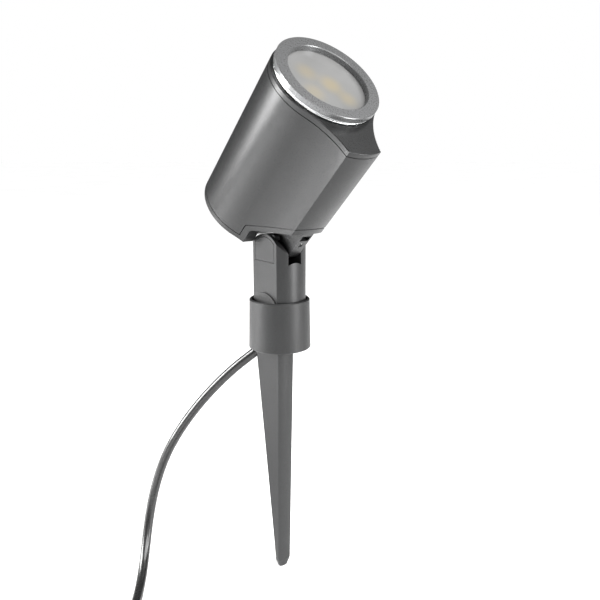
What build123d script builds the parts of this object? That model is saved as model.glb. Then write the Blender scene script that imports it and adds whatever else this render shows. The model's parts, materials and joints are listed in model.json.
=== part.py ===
"""Garden light projector on a ground stake.

Frame: millimetres, +Z up, origin at the centre of the collar's underside, which
is the ground line when the spike is pushed in. The lamp head tilts towards -Y.
The head is drawn in its own frame (X across, y towards the lamp axis, z along
the light's direction) about the tilt pivot, and then placed at its rest tilt.
"""

from build123d import *
import math
import os

# --- stake -----------------------------------------------------------------
COLLAR_H = 42.7
COLLAR_TOP_R = 25.8
COLLAR_FOOT_R = 26.7
COLLAR_BORE_R = 23.7
SKIRT_R = 23.2           # hollow under the collar
WEB_LOW, WEB_HIGH = 8.0, 12.0
LEDGE_Z = 18.0
LEDGE_BORE_R = 19.2
SPIKE_TIP_Z = -212.0
SPIKE_SHOULDER_Z = -205.0
# the blade's levels: half width and y of its nose, then of its open back
BLADE_TOP = (8.1, -8.9, 15.7, 14.9)
BLADE_SHOULDER = (6.6, -4.6, 6.5, -0.8)
BLADE_TIP = (3.9, -3.4, 3.9, -1.2)
HOLLOW_TOP = (5.7, -6.5, 18.3, 29.0)
HOLLOW_END = (1.6, -1.6, 2.0, 10.0)
HOLLOW_END_Z = -162.0
NOSE_BULGE = 1.3

# --- post ------------------------------------------------------------------
POST_R = 22.7
POST_FLAT = 15.1        # half distance between the two flats
POST_FOOT_R = 23.65      # running fit in the collar's bore
POST_FOOT_Z = 19.3
POST_FOOT_TOP = 38.0
FLAT_START_Z = 38.0
DOME_Z = 76.0
PIVOT_Z = 85.7
SLOT_HALF = 6.4
SLOT_SWING_R = 24.8      # the slot's round bottom, about the pivot
FLARE_HALF = 11.8
FLARE_LOW_Z, FLARE_HIGH_Z = 83.9, 94.9
COVER_HALF = 13.6
COVER_LOW_Z = 75.4
COVER_INSET = 2.4
COVER_T = 1.8
COVER_GAP = 0.35
LEAD_R = 3.2

# --- head, in its own frame -------------------------------------------------
TILT = 46.24             # rest angle of the light's direction from vertical
HEAD_R = 43.6
HEAD_OFFSET = 51.6       # pivot to lamp axis
HEAD_LOW = -7.4
HEAD_HIGH = 129.9
BACK_HALF = 15.0         # half width of the back face
BACK_Y = 14.9
BACK_CROWN = 2.6
FLANK_R = 68.0
STEP_Y = 14.6            # wall of the rear recess
CEILING_Y, CEILING_H = 9.9, 12.7
CEILING_SLOPE = 1.0126
SWING_NOTCH_Y = 21.5
CAP_T = 4.1
SEAM = 0.6
SEAM_INSET = 0.7
BORE_R = 39.6
LUG_BORE_R = 40.9
TONGUE_HALF = 5.5
TONGUE_FRONT = 16.6
HUB_R = 10.3

# --- bezel, about the lamp axis ----------------------------------------------
BEZEL_R = 42.5
BEZEL_HIGH = 137.6
BEZEL_FLANGE = 4.5
APERTURE_R = 32.9
NECK_R = 39.05
NECK_BORE_R = 36.3
CAP_BORE_R = 39.1
GLASS_R = 36.0
GLASS_TOP = 132.8
GLASS_T = 4.2

# --- hinge hardware ----------------------------------------------------------
BOLT_R = 3.0
BOLT_HOLE_R = 3.05

# --- cord --------------------------------------------------------------------
CORD_R = 4.3
FLOOR_Z = SPIKE_TIP_Z
CORD_BEARING = 37.34     # the cord leaves square to this bearing, behind the blade
COIL_MID_R = 45.4
COIL_WIDE = 25.8
COIL_HIGH = 23.8
COIL_SIDE, COIL_NEAR = 66.0, -134.0
TIE_BEARING = 330.0
RELIEF_SLOPE = 36.4
EXIT_SIDE, EXIT_NEAR, EXIT_Z = 10.0, 8.0, 1.2
RELIEF_R = 5.9


def in_head(shape):
    """Places a shape drawn in the head's frame at the rest tilt."""
    return Pos(0, 0, PIVOT_Z) * Rot(TILT, 0, 0) * shape


def tube(outer, inner, low, high):
    """A round ring about the Z axis."""
    ring = Pos(0, 0, low) * Cylinder(outer, high - low, align=(Align.CENTER, Align.CENTER, Align.MIN))
    return ring - Pos(0, 0, low - 1) * Cylinder(
        inner, high - low + 2, align=(Align.CENTER, Align.CENTER, Align.MIN))


def rod(radius, low, high):
    """A round bar about the Z axis."""
    return Pos(0, 0, low) * Cylinder(radius, high - low, align=(Align.CENTER, Align.CENTER, Align.MIN))


def cross_rod(radius, low, high, y=0.0, z=0.0):
    """A round bar along X."""
    return Pos(low, y, z) * Rot(0, 90, 0) * Cylinder(
        radius, high - low, align=(Align.CENTER, Align.CENTER, Align.MIN))


def box_at(x0, x1, y0, y1, z0, z1):
    return Pos((x0 + x1) / 2, (y0 + y1) / 2, (z0 + z1) / 2) * Box(x1 - x0, y1 - y0, z1 - z0)


def turned(points):
    """Revolves a closed outline of (radius, height) about the Z axis."""
    return revolve(make_face(Polyline(*[(r, 0, z) for r, z in points], close=True)), Axis.Z)


def cross_prism(points, half):
    """A closed outline of (y, z) extruded across X."""
    face = make_face(Polyline(*[(-half, y, z) for y, z in points], close=True))
    return extrude(face, amount=2 * half, dir=(1, 0, 0))


# --- head --------------------------------------------------------------------
def head_outline():
    """The head's section: a round barrel whose hollow flanks run to a narrow back."""
    span_y = -BACK_Y - HEAD_OFFSET
    reach = math.hypot(BACK_HALF, span_y)
    ux, uy = BACK_HALF / reach, span_y / reach
    big = HEAD_R + FLANK_R
    along = (big * big - FLANK_R * FLANK_R + reach * reach) / (2 * reach)
    aside = math.sqrt(big * big - along * along)
    fx = along * ux - aside * uy
    fy = HEAD_OFFSET + along * uy + aside * ux
    tx, ty = fx * HEAD_R / big, HEAD_OFFSET + (fy - HEAD_OFFSET) * HEAD_R / big
    mx = (tx - fx) / FLANK_R + (BACK_HALF - fx) / FLANK_R
    my = (ty - fy) / FLANK_R + (-BACK_Y - fy) / FLANK_R
    size = math.hypot(mx, my)
    mid = (fx + FLANK_R * mx / size, fy + FLANK_R * my / size)
    edges = [
        ThreePointArc((-tx, ty), (0, HEAD_OFFSET + HEAD_R), (tx, ty)),
        ThreePointArc((tx, ty), mid, (BACK_HALF, -BACK_Y)),
        ThreePointArc((BACK_HALF, -BACK_Y), (0, -BACK_Y - BACK_CROWN), (-BACK_HALF, -BACK_Y)),
        ThreePointArc((-BACK_HALF, -BACK_Y), (-mid[0], mid[1]), (-tx, ty)),
    ]
    return make_face(edges)


def head_prism(low, high, inset=0.0):
    face = head_outline()
    if inset:
        face = offset(face, amount=-inset)
    return extrude(Pos(0, 0, low) * face, amount=high - low, dir=(0, 0, 1))


def ceiling(y, lift=0.0):
    """Height of the sloping ceiling of the rear recess, raised square to itself by lift."""
    rise = lift * math.sqrt(1 + CEILING_SLOPE ** 2)
    return CEILING_H + (CEILING_Y - y) * CEILING_SLOPE + rise


def rear_cut(lift=0.0):
    """What is cut from behind: everything below the rear cap's surface, raised by lift."""
    step = STEP_Y + lift
    low = HEAD_LOW + lift
    round_r = 4.0
    profile = cross_prism(
        [(-60, -60), (-60, ceiling(-60, lift)), (step, ceiling(step, lift)), (step, -60)], 60)
    corner = [e for e in profile.edges().filter_by(Axis.X)
              if abs(e.center().Y - step) < 0.01 and e.center().Z > -50]
    profile = fillet(corner, round_r)
    return profile + box_at(-60, 60, step - 1, 140, -60, low)


def swing_notch(lift=0.0):
    """Room for the post's round top as the head tilts back."""
    back = SWING_NOTCH_Y + lift
    points = [(STEP_Y - 4, -60), (STEP_Y - 4, ceiling(STEP_Y - 4, lift)),
              (back, ceiling(back, lift)), (back, -60)]
    return cross_prism(points, POST_FLAT + 1.0 + lift)


def screw_spots():
    """Where the rear cap's screws stand about the lamp axis."""
    return [(36.0 * math.cos(math.radians(a)), HEAD_OFFSET + 36.0 * math.sin(math.radians(a)))
            for a in (20, 90, 160)]


def head_housing():
    top = HEAD_HIGH - CAP_T - SEAM
    body = head_prism(-20, top) - rear_cut(CAP_T + SEAM) - swing_notch(CAP_T + SEAM)
    body -= Pos(0, HEAD_OFFSET, 0) * rod(BORE_R, -40, 140)
    body -= Pos(0, HEAD_OFFSET, 0) * rod(LUG_BORE_R, 112, 140)
    body -= box_at(-10, 10, -10.5, 24, 54, 118)
    low = HEAD_LOW + CAP_T + SEAM
    for x, y in screw_spots():
        boss = Pos(x, y, 0) * rod(3.9, low, 24)
        boss &= Pos(0, HEAD_OFFSET, 0) * rod(HEAD_R - 1, low, 24)
        body += boss
        body -= Pos(x, y, 0) * rod(1.55, low - 1, 18)
    return body - ceiling_holes(4.1, CAP_T + SEAM + 3.0)


def rear_cap():
    body = head_prism(-20, 60) - rear_cut() - swing_notch()
    keep = rear_cut(CAP_T) + swing_notch(CAP_T)
    body &= keep
    for x, y in screw_spots():
        body -= Pos(x, y, 0) * rod(1.75, -20, 20)
        body -= Pos(x, y, 0) * rod(3.1, -20, HEAD_LOW + 2.0)
    return body - ceiling_holes(2.05)


def rear_gasket():
    body = head_prism(-20, 70, SEAM_INSET) - rear_cut(CAP_T) - swing_notch(CAP_T)
    body &= rear_cut(CAP_T + SEAM) + swing_notch(CAP_T + SEAM)
    body -= Pos(0, HEAD_OFFSET, 0) * rod(BORE_R - 1.2, -40, 140)
    for x, y in screw_spots():
        body -= Pos(x, y, 0) * rod(1.75, -20, 30)
    body -= ceiling_holes(2.05)
    return body


def rear_cap_screws():
    screws = []
    for x, y in screw_spots():
        screws.append(Pos(x, y, 0) * (rod(1.5, HEAD_LOW + 2.0, 15) + rod(2.9, HEAD_LOW + 0.3, HEAD_LOW + 2.0)))
    return Compound(children=screws)


def ceiling_frame(y):
    """A plane on the sloping ceiling at y, its normal pointing into the head."""
    normal = Vector(0, CEILING_SLOPE, 1).normalized()
    return Plane(origin=(0, y, ceiling(y)), x_dir=(1, 0, 0), z_dir=normal)


def ceiling_holes(radius, depth=12.0):
    """The two screw holes that join the tongue to the rear cap, or the room for their heads."""
    holes = [ceiling_frame(y) * rod(radius, -12, depth) for y in (-9.0, 1.0)]
    return holes[0] + holes[1]


def hinge_tongue():
    front = -TONGUE_FRONT
    web = cross_prism(
        [(front, 12.5), (front, ceiling(front)), (9.0, ceiling(9.0)), (HUB_R, 0.0),
         (0, -HUB_R + 0.8), (-8.0, -6.1), (-13.2, 4.0), (front + 0.8, 8.6)], TONGUE_HALF)
    body = web + cross_rod(HUB_R, -TONGUE_HALF, TONGUE_HALF)
    body -= cross_rod(BOLT_HOLE_R, -20, 20)
    window = box_at(-4.2, 4.2, front - 5, front + 6.5, 30.5, 36.5)
    return body - window - ceiling_holes(1.95)


def tongue_screws():
    screws = [ceiling_frame(y) * (rod(1.9, -9, CAP_T + SEAM) + rod(3.6, CAP_T + SEAM, CAP_T + SEAM + 2.4))
              for y in (-9.0, 1.0)]
    return Compound(children=screws)


def front_cap():
    body = head_prism(HEAD_HIGH - CAP_T, HEAD_HIGH)
    body -= Pos(0, HEAD_OFFSET, 0) * rod(CAP_BORE_R, 100, 150)
    rim = [e for e in body.edges().filter_by(GeomType.CIRCLE)
           if e.center().Z > HEAD_HIGH - 0.1 and abs(e.radius - CAP_BORE_R) > 0.01]
    return fillet(rim, 0.5)


def front_gasket():
    low = HEAD_HIGH - CAP_T - SEAM
    body = head_prism(low, HEAD_HIGH - CAP_T, SEAM_INSET)
    return body - Pos(0, HEAD_OFFSET, 0) * rod(LUG_BORE_R, low - 5, low + 5)


def on_axis(shape):
    return Pos(0, HEAD_OFFSET, 0) * shape


def led_lamp():
    """Reflector lamp with a two-pin twist base."""
    bowl = turned([(0, 74), (13, 74), (16, 78), (24.8, 108), (24.8, 113), (23, 115.5), (0, 117.5)])
    body = bowl + rod(10.5, 64, 74)
    for x in (-5, 5):
        body += Pos(x, 0, 0) * (rod(1.2, 57, 64) + rod(2.4, 56, 58.5))
    return on_axis(body)


def lamp_holder():
    body = rod(14, 44, 63.6)
    for x in (-5, 5):
        body -= Pos(x, 0, 0) * rod(2.8, 54, 70)
    return on_axis(body)


def lamp_carrier():
    """Plate across the barrel that carries the lamp holder."""
    plate = rod(39.4, 41.5, 44)
    plate -= box_at(-9, 9, -60, -24, 30, 60)
    return on_axis(plate - Pos(22, 12, 0) * rod(5, 30, 60))


def terminal_block():
    block = box_at(-15, 15, -8, 8, 14, 26)
    for x in (-9, 0, 9):
        block -= Pos(x, 0, 0) * rod(2.4, 20, 30)
    return on_axis(block)


def terminal_shelf():
    """Bridge between the bosses that carries the terminal block."""
    return on_axis(box_at(-17, 17, -10, 10, 11, 14))


def head_lead():
    """The lead inside the head, from the tongue's entry to the terminal block."""
    path = FilletPolyline((0, 19, 16), (0, 19, 33), (0, 36, 33), (0, 38.5, 18), radius=6)
    return sweep(Plane(origin=path @ 0, z_dir=path % 0) * Circle(2.4), path=path)


# --- bezel -------------------------------------------------------------------
def bezel_ring():
    flange = BEZEL_HIGH - BEZEL_FLANGE
    body = turned([
        (NECK_BORE_R, 117), (NECK_R, 117), (NECK_R, flange), (BEZEL_R - 0.4, flange), (BEZEL_R, flange + 0.4),
        (BEZEL_R, BEZEL_HIGH - 0.5), (BEZEL_R - 0.5, BEZEL_HIGH), (APERTURE_R + 0.6, BEZEL_HIGH),
        (APERTURE_R, BEZEL_HIGH - 0.6), (APERTURE_R, GLASS_TOP), (NECK_BORE_R, GLASS_TOP)])
    lug = tube(40.5, NECK_R - 0.5, 121.8, 125.2)
    for turn in range(3):
        wedge = Rot(0, 0, 90 + 120 * turn) * box_at(30, 45, -7, 7, 110, 130)
        body += lug & wedge
    body -= tube(NECK_R + 0.5, NECK_R - 0.9, 127.0, 128.6)
    return on_axis(body)


def knurled_ring():
    """Bright double-bead grip ring under the bezel's flange."""
    low = HEAD_HIGH + 0.5
    high = BEZEL_HIGH - BEZEL_FLANGE
    body = tube(40.6, NECK_R, low, high)
    bead = (high - low) / 4
    for centre in (low + bead, high - bead):
        body += revolve(Pos(40.6, 0, centre) * Rot(90, 0, 0) * Circle(bead * 0.98), Axis.Z)
    return on_axis(body)


def glass_lens():
    low = GLASS_TOP - GLASS_T
    return on_axis(turned([(0, low), (GLASS_R - 0.6, low), (GLASS_R, low + 0.6), (GLASS_R, GLASS_TOP - 0.4),
                           (GLASS_R - 0.4, GLASS_TOP), (0, GLASS_TOP)]))


def lens_gasket():
    low = GLASS_TOP - GLASS_T
    return on_axis(tube(GLASS_R, 32.6, low - 1.2, low))


def lens_retainer():
    low = GLASS_TOP - GLASS_T - 1.2
    return on_axis(tube(NECK_BORE_R, 32.0, low - 3, low))


def bezel_seal():
    return on_axis(tube(NECK_R, NECK_R - 0.9, 127.0, 128.6))


# --- post --------------------------------------------------------------------
def post_bracket():
    body = rod(POST_R, POST_FOOT_Z, 110)
    body &= box_at(-POST_FLAT, POST_FLAT, -30, 30, 0, 120) + rod(POST_R, 0, FLAT_START_Z)
    dome = cross_rod(POST_R, -30, 30, z=DOME_Z) + box_at(-30, 30, -30, 30, 0, DOME_Z)
    body &= dome
    body += rod(POST_FOOT_R, POST_FOOT_Z, POST_FOOT_TOP)
    body -= cross_rod(SLOT_SWING_R, -SLOT_HALF, SLOT_HALF, z=PIVOT_Z)
    flare = Polyline((-SLOT_HALF, -40, FLARE_LOW_Z), (-FLARE_HALF, -40, FLARE_HIGH_Z), (-FLARE_HALF, -40, 120),
                     (FLARE_HALF, -40, 120), (FLARE_HALF, -40, FLARE_HIGH_Z), (SLOT_HALF, -40, FLARE_LOW_Z),
                     close=True)
    body -= extrude(make_face(flare), amount=35.5, dir=(0, 1, 0))
    body -= rod(LEAD_R + 0.6, 0, 80)
    body -= tube(POST_FOOT_R + 1, POST_FOOT_R - 2.6, 25.5, 31.5)
    body -= cross_rod(BOLT_HOLE_R, -20, 20, z=PIVOT_Z)
    for side in (-1, 1):
        low, high = sorted((side * 8.6, side * 20))
        body -= cross_rod(6.3, low, high, z=PIVOT_Z)
        low, high = sorted((side * (POST_FLAT - COVER_T), side * 20))
        body -= cover_prism(low, high, 0.0)
    return body - lead_guide_pin()


def cover_prism(low, high, gap):
    """The thumb-shaped outline of a hinge cover between two X planes."""
    half = POST_R - COVER_INSET - gap
    arch = cross_rod(POST_R - COVER_INSET - gap, low, high, z=DOME_Z)
    lower = box_at(low, high, -half, half, COVER_LOW_Z + gap, DOME_Z)
    shape = arch & box_at(low, high, -half, half, DOME_Z, 130)
    shape += lower
    return shape & box_at(low, high, -COVER_HALF + gap, COVER_HALF - gap, 0, 130)


def hinge_cover(side):
    low, high = sorted((side * (POST_FLAT - COVER_T + 0.02), side * POST_FLAT))
    return cover_prism(low, high, COVER_GAP)


def flat_seal(side):
    """Black arched pad that closes the gap between a flat and the collar."""
    low, high = sorted((side * POST_FLAT, side * (POST_FLAT + 1.3)))
    half = 15.4
    peak = COLLAR_H + 6.4
    foot = COLLAR_H + 0.6
    sagitta = peak - foot
    radius = (half * half + sagitta * sagitta) / (2 * sagitta)
    pad = cross_rod(radius, low, high, z=peak - radius)
    return pad & box_at(low, high, -half, half, POST_FOOT_TOP, 80)


def hinge_bolt():
    head = cross_rod(5.4, -12.2, -8.7)
    head -= box_at(-13, -10.6, -0.7, 0.7, -8, 8)
    return Pos(0, 0, PIVOT_Z) * (head + cross_rod(BOLT_R, -8.7, 12.1))


def hinge_nut():
    hexagon = Pos(8.7, 0, 0) * Rot(0, 90, 0) * extrude(RegularPolygon(5.6, 6), amount=3.3)
    return Pos(0, 0, PIVOT_Z) * (hexagon - cross_rod(BOLT_R, 0, 20))


def friction_washer(side):
    low, high = sorted((side * SLOT_HALF, side * (TONGUE_HALF + 0.3)))
    return Pos(0, 0, PIVOT_Z) * (cross_rod(8.5, low, high) - cross_rod(BOLT_R + 0.1, -10, 10))


def lead_guide_pin():
    """Short round rod in the flare of the left ear."""
    return cross_rod(2.5, -11.9, -6.6, y=-8.0, z=PIVOT_Z + 10.0)


def post_lead():
    return rod(LEAD_R, 20.5, 57.5)


# --- stake -------------------------------------------------------------------
def blade_section(z, level, bulge=NOSE_BULGE):
    """One level of the blade: a rounded nose and two walls that open backwards."""
    nose_half, nose_y, back_half, back_y = level
    pts = [(nose_half, nose_y, z), (back_half, back_y, z), (-back_half, back_y, z), (-nose_half, nose_y, z)]
    edges = [Line(pts[0], pts[1]), Line(pts[1], pts[2]), Line(pts[2], pts[3]),
             ThreePointArc(pts[3], (0, nose_y - bulge, z), pts[0])]
    return make_face(edges)


def spike_blade():
    top = blade_section(WEB_LOW + 1, BLADE_TOP)
    low = blade_section(SPIKE_SHOULDER_Z, BLADE_SHOULDER, 0.8 * NOSE_BULGE)
    tip = blade_section(SPIKE_TIP_Z, BLADE_TIP, 0.6 * NOSE_BULGE)
    hollow_top = blade_section(WEB_LOW, HOLLOW_TOP)
    hollow_low = blade_section(HOLLOW_END_Z, HOLLOW_END, 0.4 * NOSE_BULGE)
    return loft([top, low]) + loft([low, tip]) - loft([hollow_top, hollow_low])


def bearing(side, near, z):
    """A point by its distance to the left and towards the back of the cord's bearing."""
    c, s = math.cos(math.radians(CORD_BEARING)), math.sin(math.radians(CORD_BEARING))
    return Vector(-c * side + s * near, s * side + c * near, z)


def relief_frame():
    """Where the cord leaves its strain relief, pointing along the cord."""
    ahead = bearing(math.cos(math.radians(RELIEF_SLOPE)), 0, -math.sin(math.radians(RELIEF_SLOPE)))
    return Plane(origin=bearing(EXIT_SIDE, EXIT_NEAR, EXIT_Z), z_dir=ahead)


def ground_spike():
    body = turned([
        (SKIRT_R, 0), (COLLAR_FOOT_R - 0.5, 0), (COLLAR_FOOT_R, 0.5), (COLLAR_TOP_R, COLLAR_H - 0.8),
        (COLLAR_TOP_R - 0.8, COLLAR_H), (COLLAR_BORE_R + 0.4, COLLAR_H), (COLLAR_BORE_R, COLLAR_H - 0.4),
        (COLLAR_BORE_R, LEDGE_Z), (LEDGE_BORE_R, LEDGE_Z), (LEDGE_BORE_R, WEB_HIGH), (0, WEB_HIGH),
        (0, WEB_LOW), (SKIRT_R, WEB_LOW)])
    body += spike_blade()
    boss = relief_frame() * rod(8.2, -22, -7)
    body += boss & rod(SKIRT_R, 3, LEDGE_Z - 1)
    body -= relief_frame() * rod(RELIEF_R + 0.05, -40, 2)
    body -= screw_frame() * rod(2.05, -4, 10)
    return body


def screw_frame():
    """The swivel lock screw's axis, through the back right of the collar's wall."""
    turn = math.radians(52)
    out = Vector(math.cos(turn), math.sin(turn), 0)
    return Plane(origin=out * COLLAR_BORE_R + Vector(0, 0, 28.5), z_dir=out)


def swivel_lock_screw():
    screw = rod(2.0, -0.2, 2.6) + rod(1.6, -1.4, -0.2)
    socket = Pos(0, 0, 1.2) * extrude(RegularPolygon(1.1, 6), amount=4)
    return screw_frame() * (screw - socket)


def thrust_washer():
    return tube(COLLAR_BORE_R - 0.2, LEDGE_BORE_R + 0.3, LEDGE_Z, LEDGE_Z + 1.0)


def cord_relief():
    """Tapered strain relief that holds the cord in the stake's boss and sleeves its first stretch."""
    sleeve = CORD_R + 0.03
    body = turned([(0, -15), (RELIEF_R, -15), (RELIEF_R, -6.5), (CORD_R + 0.5, 6), (sleeve, 6), (sleeve, 0), (0, 0)])
    return relief_frame() * body


def cord_route():
    """The free cord from its strain relief down to the floor and to the coil."""
    lying = FLOOR_Z + CORD_R
    points = [
        (EXIT_SIDE, EXIT_NEAR, EXIT_Z), (21, 8, -6.9), (44, 8, -25.2), (69, 8, -51), (90, 8, -78.8), (106, 7, -107),
        (116.5, 4, -138), (121.5, -3, -166), (123, -16, -190), (122, -38, -204), (121, -63, lying),
        (120.5, -90, lying + 0.01), (120, -118, lying)]
    return [bearing(*p) for p in points]


def corner_radii(points):
    """Arc radius at each inner point: 0.45 of the shorter run over the tangent of half the turn."""
    radii = []
    for before, here, after in zip(points, points[1:], points[2:]):
        run_in, run_out = here - before, after - here
        half = math.radians(run_in.get_angle(run_out)) / 2
        radii.append(0.45 * min(run_in.length, run_out.length) / math.tan(half))
    return radii


def cord_tube(points, name):
    radii = corner_radii(points)
    path = FilletPolyline(*points, radius=radii)
    solid = sweep(Plane(origin=path @ 0, z_dir=path % 0) * Circle(CORD_R), path=path)
    print(name, "length", round(path.length, 1), "smallest radius", round(min(radii), 1),
          "volume ratio", round(solid.volume / (math.pi * CORD_R ** 2 * path.length), 4))
    return solid


def coil_centre():
    return bearing(COIL_SIDE, COIL_NEAR, FLOOR_Z)


def cord_coil():
    centre = coil_centre()
    half = COIL_WIDE / 2
    ring = turned([
        (COIL_MID_R - half, 2), (COIL_MID_R - half + 2, 0), (COIL_MID_R + half - 2, 0), (COIL_MID_R + half, 2),
        (COIL_MID_R + half, 7.5), (COIL_MID_R + CORD_R, COIL_HIGH), (COIL_MID_R - CORD_R, COIL_HIGH),
        (COIL_MID_R - half, 7.5)])
    return Pos(*centre) * ring - tie_block(0.0)


def tie_block(inner):
    """The cable tie's outline round the coil's section, or its inside."""
    centre = coil_centre()
    half = COIL_WIDE / 2 + 1.2 - inner
    low, high = inner, COIL_HIGH + 1.4 - inner
    block = box_at(COIL_MID_R - half, COIL_MID_R + half, -2.5, 2.5, low, high)
    return Pos(*centre) * Rot(0, 0, TIE_BEARING) * block


def coil_tie():
    centre = coil_centre()
    half = COIL_WIDE / 2 + 1.2
    hole = box_at(COIL_MID_R - half + 1.2, COIL_MID_R + half - 1.2, -4, 4, 1.2, COIL_HIGH + 0.2)
    head = box_at(COIL_MID_R + half - 0.2, COIL_MID_R + half + 3.6, -3.4, 3.4, 3, 9)
    return tie_block(0.0) - Pos(*centre) * Rot(0, 0, TIE_BEARING) * hole + Pos(*centre) * Rot(0, 0, TIE_BEARING) * head


def plug_frame():
    """The plug lies flat on the coil, straight on from the top turn, pointing along its own Z."""
    away = bearing(0, -1, 0)
    return Plane(origin=bearing(COIL_SIDE + COIL_MID_R, COIL_NEAR - 11, FLOOR_Z + COIL_HIGH + 7.6),
                 x_dir=(0, 0, 1), z_dir=away)


def tail_route():
    """The last of the cord, rising off the coil's top turn into the plug's relief."""
    points = [bearing(COIL_SIDE + COIL_MID_R * math.cos(math.radians(turn)),
                      COIL_NEAR + COIL_MID_R * math.sin(math.radians(turn)), FLOOR_Z + height)
              for turn, height in ((100, 19.2), (75, 21.9), (50, 25.5), (25, 29.0), (0, 31.0))]
    return points + [plug_frame().origin]


def plug_relief():
    return plug_frame() * turned([(0, 0), (5.0, 0), (6.4, 22), (0, 22)])


def plug_body():
    """Flat moulded two-pin plug."""
    body = Pos(0, 0, 40) * Box(15, 32, 36)
    body = fillet(body.edges().filter_by(Axis.Z), 6.0)
    return plug_frame() * body


def plug_pins():
    pins = [plug_frame() * Pos(0, y, 0) * (rod(2.0, 58, 76.5)) for y in (-9.3, 9.3)]
    return Compound(children=pins)


def sub_parts():
    """Every separate piece, by its node name."""
    head = {
        "head_housing": head_housing, "front_cap": front_cap, "rear_cap": rear_cap,
        "front_gasket": front_gasket, "rear_gasket": rear_gasket, "rear_cap_screws": rear_cap_screws,
        "hinge_tongue": hinge_tongue, "tongue_screws": tongue_screws, "led_lamp": led_lamp,
        "lamp_holder": lamp_holder, "lamp_carrier": lamp_carrier, "terminal_block": terminal_block,
        "terminal_shelf": terminal_shelf, "head_lead": head_lead, "bezel_ring": bezel_ring,
        "knurled_ring": knurled_ring, "glass_lens": glass_lens, "lens_gasket": lens_gasket,
        "lens_retainer": lens_retainer, "bezel_seal": bezel_seal,
    }
    parts = {name: in_head(make()) for name, make in head.items()}
    parts["post_bracket"] = post_bracket()
    for side, word in ((-1, "left"), (1, "right")):
        parts[f"hinge_cover_{word}"] = hinge_cover(side)
        parts[f"flat_seal_{word}"] = flat_seal(side)
        parts[f"friction_washer_{word}"] = friction_washer(side)
    parts["hinge_bolt"] = hinge_bolt()
    parts["hinge_nut"] = hinge_nut()
    parts["lead_guide_pin"] = lead_guide_pin()
    parts["post_lead"] = post_lead()
    parts["ground_spike"] = ground_spike()
    parts["swivel_lock_screw"] = swivel_lock_screw()
    parts["thrust_washer"] = thrust_washer()
    parts["cord_relief"] = cord_relief()
    parts["mains_cord"] = cord_tube(cord_route(), "mains_cord")
    parts["cord_tail"] = cord_tube(tail_route(), "cord_tail")
    parts["cord_coil"] = cord_coil()
    parts["coil_tie"] = coil_tie()
    parts["plug_relief"] = plug_relief()
    parts["plug_body"] = plug_body()
    parts["plug_pins"] = plug_pins()
    return parts


def main():
    os.makedirs("parts", exist_ok=True)
    for name, shape in sub_parts().items():
        export_step(shape, f"parts/{name}.step")


main()
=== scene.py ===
"""Looks of a garden light projector on a ground stake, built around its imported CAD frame."""

import json
import math

import bpy
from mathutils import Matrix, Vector


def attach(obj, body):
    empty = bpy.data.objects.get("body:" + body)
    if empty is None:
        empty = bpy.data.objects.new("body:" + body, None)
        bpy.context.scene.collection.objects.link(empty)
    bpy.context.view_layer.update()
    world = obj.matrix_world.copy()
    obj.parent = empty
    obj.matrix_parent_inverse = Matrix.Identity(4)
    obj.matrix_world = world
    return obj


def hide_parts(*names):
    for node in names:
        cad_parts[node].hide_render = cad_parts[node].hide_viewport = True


MM = 0.001
LOOK_BEARING = 37.34     # degrees: the camera looks along +Y turned this far towards +X

# --- cord, in millimetres: the same route as the CAD model's ---------------------
CORD_R = 4.3
FLOOR_Z = -212.0
COIL_MID_R = 45.4
COIL_HIGH = 23.8
COIL_SIDE, COIL_NEAR = 66.0, -134.0
LYING = FLOOR_Z + CORD_R
CORD_ROUTE = [
    (10, 8, 1.2), (21, 8, -6.9), (44, 8, -25.2), (69, 8, -51), (90, 8, -78.8), (106, 7, -107),
    (116.5, 4, -138), (121.5, -3, -166), (123, -16, -190), (122, -38, -204), (121, -63, LYING),
    (120.5, -90, LYING + 0.01), (120, -118, LYING)]
COIL_TURNS = 3.72        # up to where the tail starts
LOWER_TURNS = 2.0
UPPER_END = 3.3          # the turn at which the cord climbs onto the top layer
CLIMB = 0.3              # part of a turn in which it climbs one layer
POINTS_PER_TURN = 16
PITCH = 2 * CORD_R
LAYER = 7.45             # height of a layer that nestles between the turns below
TAIL_RISE = [(75, 21.9), (50, 25.5), (25, 29.0), (0, 31.0)]    # degrees round the coil, height
PLUG_NEAR = COIL_NEAR - 11
PLUG_Z = FLOOR_Z + COIL_HIGH + 7.6

# --- head, in its own frame, in millimetres -----------------------------------------
TILT = math.radians(46.24)
PIVOT_Z = 85.7
HEAD_OFFSET = 51.6       # hinge to lamp axis
GLASS_TOP = 132.8
RING_LOW, RING_HIGH = 130.45, 133.05
RING_BORE_R, RING_ROOT_R, RING_CREST_R = 39.2, 41.0, 41.6
RING_TEETH = 180
TOOTH_DEPTH = 0.22
BEAD_FOOT = 0.25         # how far a bead's foot is sunk into the ring
BEAD_STEPS = 6

# --- camera, in millimetres and degrees ---------------------------------------------
CAMERA_PLACE = (-328.1, -458.9, 166.5)
CAMERA_DOWN = 12.58
CAMERA_LENS = 40.48

CREASE = 25              # degrees: edges of the CAD nodes sharper than this stay crisp


def head_point(x, y, z):
    """A point of the head's own frame, in metres in the row's frame."""
    c, s = math.cos(TILT), math.sin(TILT)
    return Vector((x, y * c - z * s, PIVOT_Z + y * s + z * c)) * MM


def bearing(side, near, z):
    """A point by its distance left of the stake and beyond it as the camera sees it."""
    c, s = math.cos(math.radians(LOOK_BEARING)), math.sin(math.radians(LOOK_BEARING))
    return Vector((-c * side + s * near, s * side + c * near, z)) * MM


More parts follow.
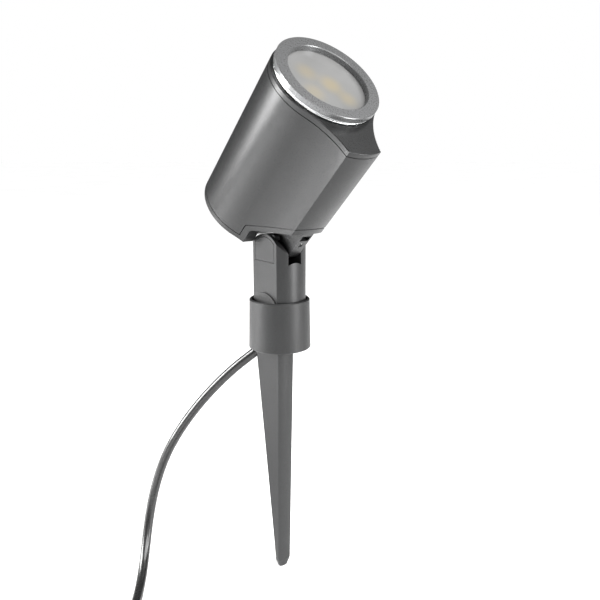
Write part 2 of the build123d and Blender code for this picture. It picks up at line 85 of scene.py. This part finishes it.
# --- camera -------------------------------------------------------------------------
def make_camera():
    data = bpy.data.cameras.new("camera")
    data.lens = CAMERA_LENS
    data.sensor_width = 36
    data.clip_end = 20
    camera = bpy.data.objects.new("camera", data)
    camera.location = Vector(CAMERA_PLACE) * MM
    camera.rotation_euler = (math.radians(90 - CAMERA_DOWN), 0, math.radians(-LOOK_BEARING))
    bpy.context.scene.collection.objects.link(camera)
    bpy.context.scene.camera = camera


# --- cord -----------------------------------------------------------------------------
def coil_points():
    """Two turns in on the floor, one out on top of them, and a part turn over those."""
    inner, outer = COIL_MID_R - PITCH, COIL_MID_R + PITCH
    points = []
    for i in range(1, int(COIL_TURNS * POINTS_PER_TURN) + 1):
        turn = i / POINTS_PER_TURN
        angle = -2 * math.pi * turn
        if turn < LOWER_TURNS:
            radius, height = outer - PITCH * turn, CORD_R
        elif turn < UPPER_END:
            share = min((turn - LOWER_TURNS) / CLIMB, 1)
            radius = inner + PITCH / 2 * share + PITCH * max(turn - LOWER_TURNS - CLIMB, 0)
            height = CORD_R + LAYER * share
        else:
            share = min((turn - UPPER_END) / CLIMB, 1)
            radius, height = COIL_MID_R + PITCH / 2 * (1 - share), CORD_R + LAYER * (1 + share)
        points.append((COIL_SIDE + radius * math.cos(angle), COIL_NEAR + radius * math.sin(angle),
                       FLOOR_Z + height))
    return points


def tail_points():
    """The last of the cord, off the coil's top turn and up into the plug's relief."""
    points = [(COIL_SIDE + COIL_MID_R * math.cos(math.radians(turn)),
               COIL_NEAR + COIL_MID_R * math.sin(math.radians(turn)), FLOOR_Z + height)
              for turn, height in TAIL_RISE]
    return points + [(COIL_SIDE + COIL_MID_R, PLUG_NEAR, PLUG_Z)]


def make_cord(material):
    """One smooth line from the strain relief to the plug."""
    points = CORD_ROUTE + coil_points() + tail_points()
    data = bpy.data.curves.new("power_cord", "CURVE")
    data.dimensions = "3D"
    spline = data.splines.new("NURBS")
    spline.points.add(len(points) - 1)
    for point, place in zip(spline.points, points):
        point.co = (*bearing(*place), 1)
    spline.order_u = 3
    spline.use_endpoint_u = True
    spline.resolution_u = 8
    data.bevel_depth = CORD_R * MM
    data.bevel_resolution = 6
    data.use_fill_caps = True
    data.materials.append(material)
    cord = bpy.data.objects.new("power_cord", data)
    bpy.context.scene.collection.objects.link(cord)
    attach(cord, "stake")
    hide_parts("mains_cord", "cord_coil", "cord_tail")


# --- materials ------------------------------------------------------------------------
def new_material(name):
    material = bpy.data.materials.new(name)
    material.use_nodes = True
    tree = material.node_tree
    shader = tree.nodes["Principled BSDF"]
    coords = tree.nodes.new("ShaderNodeTexCoord")
    return material, tree, shader, coords


def noise(tree, coords, scale, detail=2.0, roughness=0.5):
    """Noise in the object's own space, scale being its cells to the metre."""
    node = tree.nodes.new("ShaderNodeTexNoise")
    node.inputs["Scale"].default_value = scale
    node.inputs["Detail"].default_value = detail
    node.inputs["Roughness"].default_value = roughness
    tree.links.new(coords.outputs["Object"], node.inputs["Vector"])
    return node


def ramp(tree, source, low, high):
    """Runs from low to high over the middle of a noise's range."""
    node = tree.nodes.new("ShaderNodeValToRGB")
    for stop, place, colour in zip(node.color_ramp.elements, (0.3, 0.7), (low, high)):
        stop.position = place
        stop.color = colour
    tree.links.new(source, node.inputs["Fac"])
    return node


def grey(value, blue=1.0):
    """A grey, leaning to blue where blue is over 1."""
    return (value, value * (1 + blue) / 2, value * blue, 1)


def bumped(tree, shader, source, strength, distance):
    bump = tree.nodes.new("ShaderNodeBump")
    bump.inputs["Strength"].default_value = strength
    bump.inputs["Distance"].default_value = distance
    tree.links.new(source, bump.inputs["Height"])
    tree.links.new(bump.outputs["Normal"], shader.inputs["Normal"])


def powder_coat(name, tone, metallic, rough):
    """Fine-grained powder coat: a speckle in tone and gloss, and a grain of about 0.5 mm."""
    material, tree, shader, coords = new_material(name)
    speckle = noise(tree, coords, 1900, 2.0, 0.6)
    cloud = noise(tree, coords, 60, 3.0)
    tint = ramp(tree, speckle.outputs["Fac"], grey(tone * 0.72, 1.03), grey(tone * 1.30, 1.03))
    wide = ramp(tree, cloud.outputs["Fac"], grey(0.93), grey(1.05))
    mix = tree.nodes.new("ShaderNodeMix")
    mix.data_type = "RGBA"
    mix.blend_type = "MULTIPLY"
    mix.inputs["Factor"].default_value = 1.0
    tree.links.new(tint.outputs["Color"], mix.inputs["A"])
    tree.links.new(wide.outputs["Color"], mix.inputs["B"])
    tree.links.new(mix.outputs["Result"], shader.inputs["Base Color"])
    gloss = ramp(tree, speckle.outputs["Fac"], grey(rough + 0.08), grey(rough - 0.05))
    tree.links.new(gloss.outputs["Color"], shader.inputs["Roughness"])
    shader.inputs["Metallic"].default_value = metallic
    bumped(tree, shader, speckle.outputs["Fac"], 0.35, 0.00012)
    return material


def satin_metal(name, tone, rough, metallic=1.0):
    """Smooth satin surface with a faint grain in its gloss."""
    material, tree, shader, coords = new_material(name)
    fine = noise(tree, coords, 900, 2.0)
    tint = ramp(tree, fine.outputs["Fac"], grey(tone * 0.95, 1.02), grey(tone * 1.05, 1.02))
    tree.links.new(tint.outputs["Color"], shader.inputs["Base Color"])
    gloss = ramp(tree, fine.outputs["Fac"], grey(rough + 0.04), grey(rough - 0.03))
    tree.links.new(gloss.outputs["Color"], shader.inputs["Roughness"])
    shader.inputs["Metallic"].default_value = metallic
    bumped(tree, shader, fine.outputs["Fac"], 0.08, 0.00003)
    return material


def rubber(name, tone, rough, scale=500, coat=0.0):
    """Smooth black rubber, with a faint mottle in its gloss."""
    material, tree, shader, coords = new_material(name)
    fine = noise(tree, coords, scale, 3.0)
    tint = ramp(tree, fine.outputs["Fac"], grey(tone * 0.8), grey(tone * 1.25))
    tree.links.new(tint.outputs["Color"], shader.inputs["Base Color"])
    gloss = ramp(tree, fine.outputs["Fac"], grey(rough + 0.06), grey(rough - 0.06))
    tree.links.new(gloss.outputs["Color"], shader.inputs["Roughness"])
    shader.inputs["Coat Weight"].default_value = coat
    bumped(tree, shader, fine.outputs["Fac"], 0.12, 0.00004)
    return material


def plain(name, colour, rough, metallic=0.0):
    """A moulded or plated small part, with a slight change of tone."""
    material, tree, shader, coords = new_material(name)
    fine = noise(tree, coords, 400, 2.0)
    low = tuple(c * 0.92 for c in colour) + (1,)
    high = tuple(min(c * 1.06, 1) for c in colour) + (1,)
    tint = ramp(tree, fine.outputs["Fac"], low, high)
    tree.links.new(tint.outputs["Color"], shader.inputs["Base Color"])
    shader.inputs["Roughness"].default_value = rough
    shader.inputs["Metallic"].default_value = metallic
    bumped(tree, shader, fine.outputs["Fac"], 0.05, 0.00004)
    return material


def near_spot(tree, coords, place, reach):
    """1 at a point of the glass, falling smoothly to 0 at reach."""
    distance = tree.nodes.new("ShaderNodeVectorMath")
    distance.operation = "DISTANCE"
    distance.inputs[1].default_value = place
    tree.links.new(coords.outputs["Object"], distance.inputs[0])
    fall = tree.nodes.new("ShaderNodeMapRange")
    fall.interpolation_type = "SMOOTHERSTEP"
    fall.inputs["From Min"].default_value = 0
    fall.inputs["From Max"].default_value = reach
    fall.inputs["To Min"].default_value = 1
    fall.inputs["To Max"].default_value = 0
    tree.links.new(distance.outputs["Value"], fall.inputs["Value"])
    return fall.outputs["Result"]


def frosted_glass():
    """Frosted white glass, with the lamp's warm emitters showing softly through it."""
    material, tree, shader, coords = new_material("frosted_glass")
    cloud = noise(tree, coords, 30, 2.0).outputs["Fac"]
    colour = ramp(tree, cloud, (0.15, 0.15, 0.148, 1), (0.185, 0.185, 0.183, 1)).outputs["Color"]
    spots = [((3, -3), 15, 0.75), ((-13, 9), 14, 0.5), ((11, -17), 13, 0.55), ((-17, -12), 14, 0.5)]
    for (x, y), reach, weight in spots:
        place = head_point(x, HEAD_OFFSET + y, GLASS_TOP)
        near = near_spot(tree, coords, place, reach * MM)
        scale = tree.nodes.new("ShaderNodeMath")
        scale.operation = "MULTIPLY"
        scale.inputs[1].default_value = weight
        tree.links.new(near, scale.inputs[0])
        mix = tree.nodes.new("ShaderNodeMix")
        mix.data_type = "RGBA"
        tree.links.new(scale.outputs["Value"], mix.inputs["Factor"])
        tree.links.new(colour, mix.inputs["A"])
        mix.inputs["B"].default_value = (0.25, 0.21, 0.13, 1)
        colour = mix.outputs["Result"]
    tree.links.new(colour, shader.inputs["Base Color"])
    shader.inputs["Roughness"].default_value = 0.42
    shader.inputs["Coat Weight"].default_value = 0.6
    shader.inputs["Coat Roughness"].default_value = 0.18
    return material


def make_materials():
    return {
        "housing": powder_coat("powder_coat_housing", 0.016, 0.28, 0.30),
        "post": powder_coat("powder_coat_post", 0.018, 0.28, 0.34),
        "stake": powder_coat("grained_stake", 0.018, 0.25, 0.40),
        "bezel": satin_metal("satin_bezel", 0.15, 0.28, 0.5),
        "bright_ring": satin_metal("bright_ring", 0.80, 0.22),
        "glass": frosted_glass(),
        "seal": rubber("seal_rubber", 0.012, 0.6),
        "fastener": plain("stainless", (0.5, 0.5, 0.5), 0.3, 1.0),
        "inner_metal": plain("bare_aluminium", (0.6, 0.6, 0.61), 0.35, 1.0),
        "ceramic": plain("ceramic", (0.75, 0.73, 0.68), 0.4),
        "lamp": plain("lamp_body", (0.75, 0.73, 0.65), 0.25),
        "guide": plain("black_guide", (0.03, 0.03, 0.031), 0.4),
        "cord": rubber("cord_sheath", 0.012, 0.30, 300, 0.3),
        "relief": rubber("relief_rubber", 0.018, 0.5),
        "tie": plain("nylon_tie", (0.02, 0.02, 0.02), 0.4),
        "plug": rubber("plug_rubber", 0.018, 0.45, 400, 0.1),
        "pins": plain("plated_pins", (0.7, 0.66, 0.55), 0.25, 1.0),
    }


def dress_nodes(materials):
    """Gives each CAD node its slot's material and smooth shading with crisp edges."""
    slots = {part["node"]: part["material_slot"] for part in frame["record"]["subparts"]}
    for name, node in frame["nodes"].items():
        node.data.materials.clear()
        node.data.materials.append(materials[slots[name]])
        for face in node.data.polygons:
            face.use_smooth = True
            face.material_index = 0
        split = node.modifiers.new("crisp_edges", "EDGE_SPLIT")
        split.split_angle = math.radians(CREASE)


# --- detailed pieces ---------------------------------------------------------------
def add_mesh(name, verts, faces, material, body):
    mesh = bpy.data.meshes.new(name)
    mesh.from_pydata(verts, [], faces)
    mesh.validate()
    mesh.materials.append(material)
    for face in mesh.polygons:
        face.use_smooth = True
    piece = bpy.data.objects.new(name, mesh)
    bpy.context.scene.collection.objects.link(piece)
    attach(piece, body)
    return piece


def ring_profile():
    """The ring's section as (radius, height, lift), where lift is how far up its bead a point is."""
    foot = RING_ROOT_R - BEAD_FOOT
    middle = (RING_LOW + RING_HIGH) / 2
    profile = [(RING_BORE_R, RING_LOW, 0), (RING_ROOT_R, RING_LOW, 0)]
    for start, end in ((RING_LOW, middle), (middle, RING_HIGH)):
        for i in range(BEAD_STEPS + 1):
            share = i / BEAD_STEPS
            lift = math.sin(math.pi * share)
            profile.append((foot + (RING_CREST_R - foot) * lift, start + (end - start) * share, lift))
    return profile + [(RING_ROOT_R, RING_HIGH, 0), (RING_BORE_R, RING_HIGH, 0)]


def make_knurled_ring(material):
    """The bright double-bead ring, each bead cut with fine grip teeth."""
    per_tooth = 4
    count = RING_TEETH * per_tooth
    profile = ring_profile()
    verts, faces = [], []
    for i in range(count):
        angle = 2 * math.pi * i / count
        tooth = 0.5 - 0.5 * math.cos(2 * math.pi * i / per_tooth)
        for radius, height, lift in profile:
            r = radius - TOOTH_DEPTH * tooth * lift
            verts.append(head_point(r * math.cos(angle), HEAD_OFFSET + r * math.sin(angle), height))
    n = len(profile)
    for i in range(count):
        j = (i + 1) % count
        for k in range(n):
            m = (k + 1) % n
            faces.append((i * n + k, j * n + k, j * n + m, i * n + m))
    ring = add_mesh("grip_ring", verts, faces, material, "bezel")
    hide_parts("knurled_ring")


# --- stage -----------------------------------------------------------------------------
def make_stage():
    """A wide pale floor."""
    mesh = bpy.data.meshes.new("pale_floor")
    reach, floor = 60.0, (FLOOR_Z - 0.2) * MM
    corners = [(-reach, -reach, floor), (reach, -reach, floor), (reach, reach, floor), (-reach, reach, floor)]
    mesh.from_pydata(corners, [], [(0, 1, 2, 3)])
    table = bpy.data.objects.new("pale_floor", mesh)
    bpy.context.scene.collection.objects.link(table)
    material, tree, shader, coords = new_material("pale_floor")
    tint = ramp(tree, noise(tree, coords, 3).outputs["Fac"], grey(0.92), grey(0.95))
    tree.links.new(tint.outputs["Color"], shader.inputs["Base Color"])
    shader.inputs["Roughness"].default_value = 0.95
    mesh.materials.append(material)


def area_light(name, place, aim, width, height, power):
    """A soft box in metres and watts."""
    data = bpy.data.lights.new(name, "AREA")
    data.shape = "RECTANGLE"
    data.size = width
    data.size_y = height
    data.energy = power
    light = bpy.data.objects.new(name, data)
    light.location = place
    light.rotation_euler = (Vector(aim) - Vector(place)).to_track_quat("-Z", "Y").to_euler()
    bpy.context.scene.collection.objects.link(light)


def sided(right, ahead, up):
    """A place by its distance right of, beyond and above the stake as the camera sees it."""
    c, s = math.cos(math.radians(LOOK_BEARING)), math.sin(math.radians(LOOK_BEARING))
    return (c * right + s * ahead, -s * right + c * ahead, up)


def make_world():
    """A white room to the camera, and a dim one to the surfaces that reflect it."""
    world = bpy.data.worlds.new("world")
    world.use_nodes = True
    nodes, links = world.node_tree.nodes, world.node_tree.links
    dim = nodes["Background"]
    dim.inputs["Color"].default_value = (1, 1, 1, 1)
    dim.inputs["Strength"].default_value = 0.06
    white = nodes.new("ShaderNodeBackground")
    white.inputs["Color"].default_value = (1, 1, 1, 1)
    path = nodes.new("ShaderNodeLightPath")
    mix = nodes.new("ShaderNodeMixShader")
    links.new(path.outputs["Is Camera Ray"], mix.inputs["Fac"])
    links.new(dim.outputs["Background"], mix.inputs[1])
    links.new(white.outputs["Background"], mix.inputs[2])
    links.new(mix.outputs["Shader"], nodes["World Output"].inputs["Surface"])
    bpy.context.scene.world = world


def make_lights():
    """Two upright soft boxes, one above, and a wide sun from the front right."""
    aim = (0, 0, 0.1)
    area_light("left_strip", sided(-1.15, -0.12, 0.45), aim, 0.6, 0.9, 46)
    area_light("right_strip", sided(1.15, -0.5, 0.2), aim, 0.35, 0.8, 14)
    area_light("top_soft", sided(1.0, 0.25, 1.5), aim, 0.8, 0.8, 3)
    data = bpy.data.lights.new("soft_sun", "SUN")
    data.energy = 5.0
    data.angle = math.radians(50)
    sun = bpy.data.objects.new("soft_sun", data)
    sun.rotation_euler = Vector(sided(0.6, -0.8, 0.9)).to_track_quat("Z", "Y").to_euler()
    bpy.context.scene.collection.objects.link(sun)


# --- build -----------------------------------------------------------------------------
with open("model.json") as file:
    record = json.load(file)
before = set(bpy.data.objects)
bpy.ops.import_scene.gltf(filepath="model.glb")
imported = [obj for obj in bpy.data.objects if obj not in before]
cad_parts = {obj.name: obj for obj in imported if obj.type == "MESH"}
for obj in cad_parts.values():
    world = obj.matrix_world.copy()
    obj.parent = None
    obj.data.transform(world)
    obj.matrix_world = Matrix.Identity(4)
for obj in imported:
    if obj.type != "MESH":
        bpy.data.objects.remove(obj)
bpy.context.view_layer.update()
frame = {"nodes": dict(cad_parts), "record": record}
make_camera()
looks = make_materials()
make_cord(looks["cord"])
dress_nodes(looks)
make_knurled_ring(looks["bright_ring"])
make_stage()
make_world()
make_lights()
bpy.context.scene.view_settings.view_transform = "Standard"
